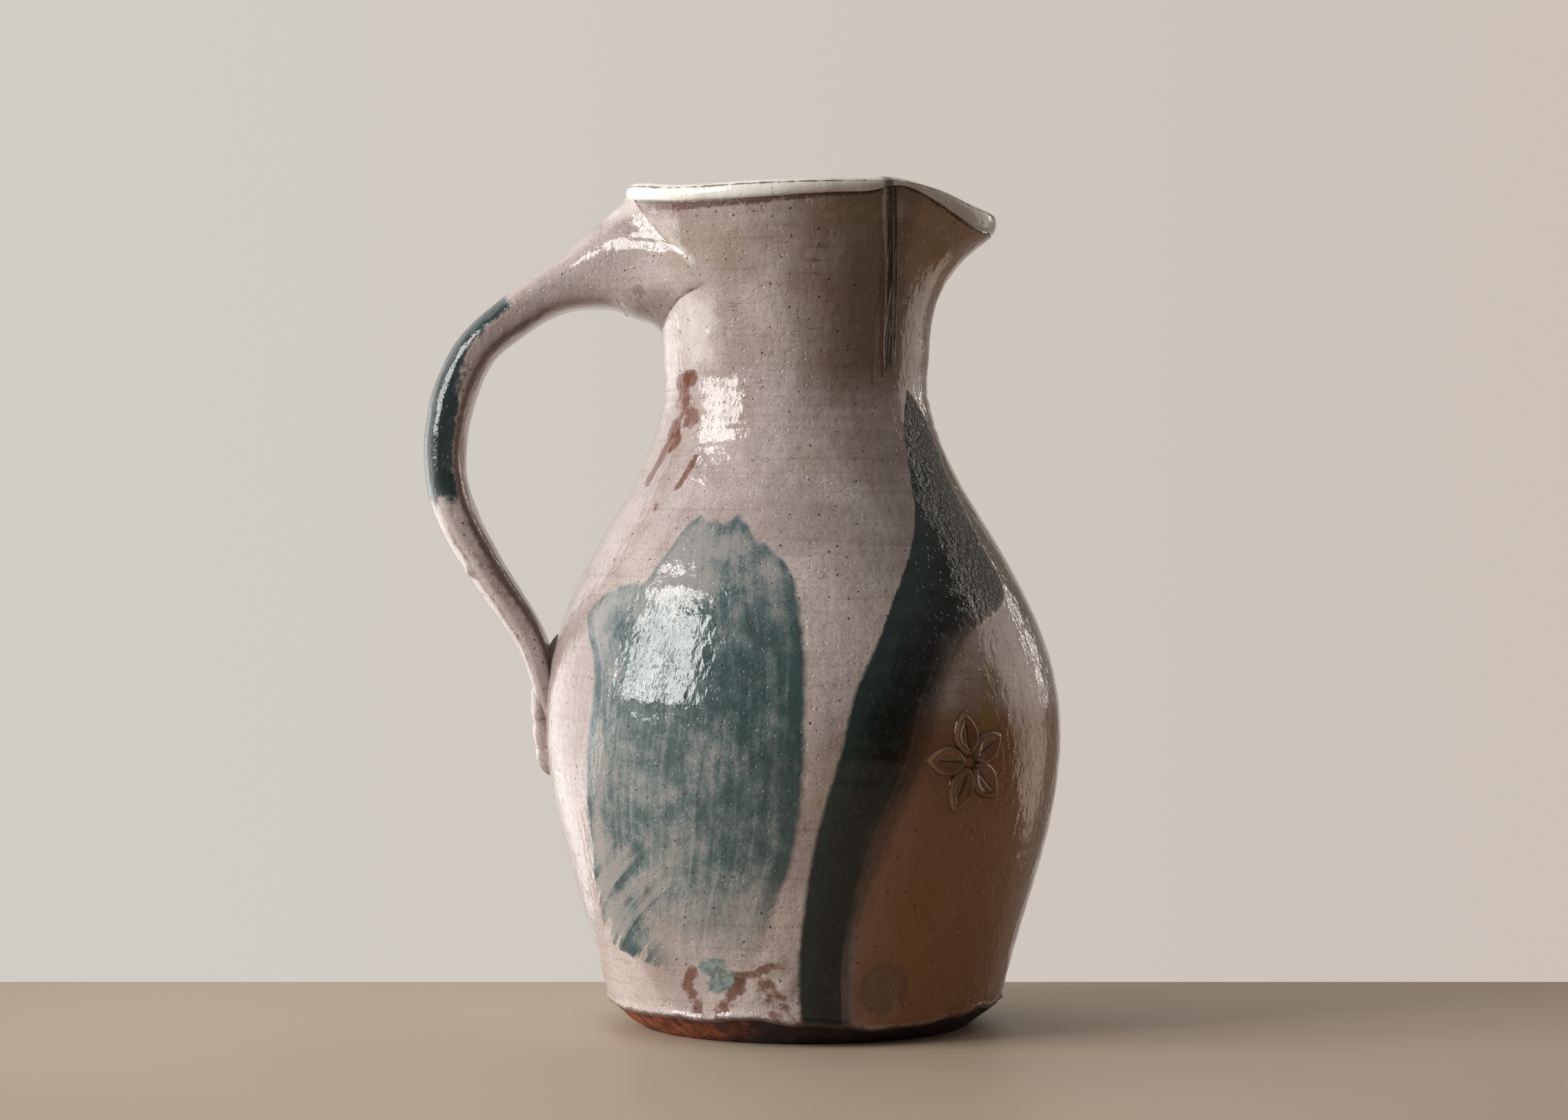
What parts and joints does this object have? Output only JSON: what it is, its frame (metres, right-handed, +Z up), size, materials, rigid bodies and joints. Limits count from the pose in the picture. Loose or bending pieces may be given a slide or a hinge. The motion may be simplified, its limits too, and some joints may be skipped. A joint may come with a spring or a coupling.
{
  "type": "ceramic pitcher",
  "caption": "Hand-thrown glazed stoneware pitcher with a round belly, collar neck, rolled rim, cut pouring spout, pulled strap handle and a raised flower.",
  "frame": {"origin": "centre of the flat foot face that the pitcher stands on, on the belly's axis", "axes": "+Z up along the thrown axis, +X towards the pouring spout, -X towards the handle, +Y completes the right-handed frame"},
  "size_m": [0.2054, 0.1676, 0.2705],
  "materials": {
    "body_glaze": "glossy grey-pink feldspathic glaze over iron-speckled stoneware, with teal brush strokes and a bare brown clay foot",
    "rim_glaze": "glossy cream-white glaze, breaking to orange-brown on the arris",
    "seam_glaze": "glossy grey-brown glaze over scored clay",
    "handle_glaze": "glossy grey-pink glaze with a teal patch, breaking to brown on the edges",
    "flower_glaze": "glossy tan glaze pooling in the relief"
  },
  "bodies": {
    "root": {"belly": "body_glaze", "neck": "body_glaze", "rim_roll": "rim_glaze", "spout": "body_glaze", "spout_seams": "seam_glaze", "handle": "handle_glaze", "handle_root_pad": "handle_glaze", "handle_tail": "handle_glaze", "flower_petals": "flower_glaze"}
  },
  "joints": []
}
